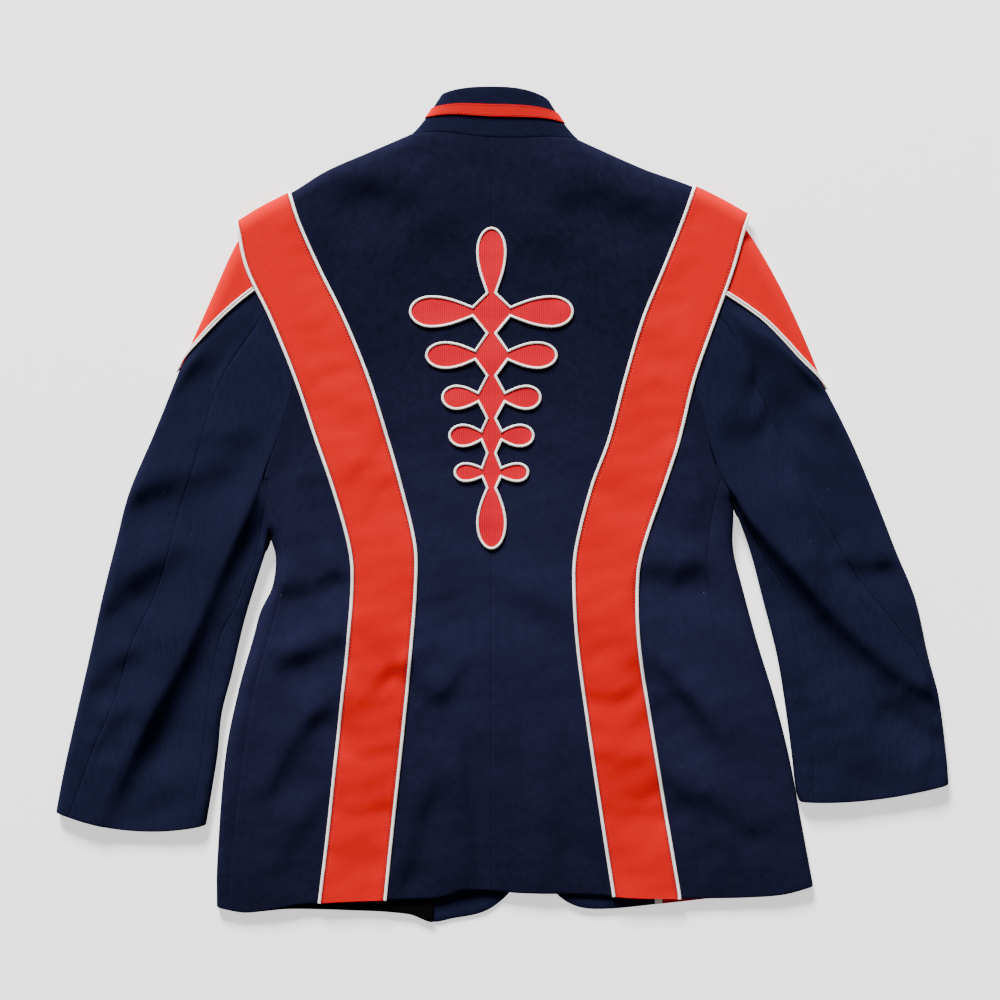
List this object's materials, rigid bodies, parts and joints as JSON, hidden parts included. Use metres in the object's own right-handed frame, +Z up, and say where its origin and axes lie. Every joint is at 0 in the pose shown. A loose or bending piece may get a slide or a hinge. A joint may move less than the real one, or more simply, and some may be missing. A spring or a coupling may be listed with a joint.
{
  "type": "marching band jacket",
  "caption": "Marching band jacket laid flat, face down: navy cloth, orange bands with white piping over shoulder wings, pointed sleeve caps, braided stand collar, ladder of loops on the back.",
  "frame": {"origin": "centre of the bounding box at the surface the jacket lies on", "axes": "+X across the back towards the wearer's right, +Y from the hem to the collar, +Z up off the surface"},
  "size_m": [0.8954, 0.8349, 0.024],
  "materials": {
    "navy_wool": "fine wool twill, matte",
    "orange_wool": "orange-red wool cloth, matte",
    "red_rib": "red ribbed cloth",
    "white_cord": "soft off-white piping and cord",
    "black_lining": "smooth black lining"
  },
  "bodies": {
    "root": {"back_left": "navy_wool", "back_right": "navy_wool", "front_left": "navy_wool", "front_right": "navy_wool", "band_left": "orange_wool", "band_right": "orange_wool", "piping_left_inner": "white_cord", "piping_left_outer": "white_cord", "piping_right_inner": "white_cord", "piping_right_outer": "white_cord", "top_sleeve_left": "navy_wool", "top_sleeve_right": "navy_wool", "under_sleeve_left": "navy_wool", "under_sleeve_right": "navy_wool", "cap_left": "orange_wool", "cap_right": "orange_wool", "cap_cord_left_upper": "white_cord", "cap_cord_left_lower": "white_cord", "cap_cord_right_upper": "white_cord", "cap_cord_right_lower": "white_cord", "collar": "navy_wool", "collar_braid": "orange_wool", "ornament": "red_rib", "ornament_cord": "white_cord", "facing_left": "navy_wool", "facing_right": "navy_wool", "lining_left": "black_lining", "band_hem_right": "orange_wool", "band_hem_piping": "white_cord"}
  },
  "joints": []
}
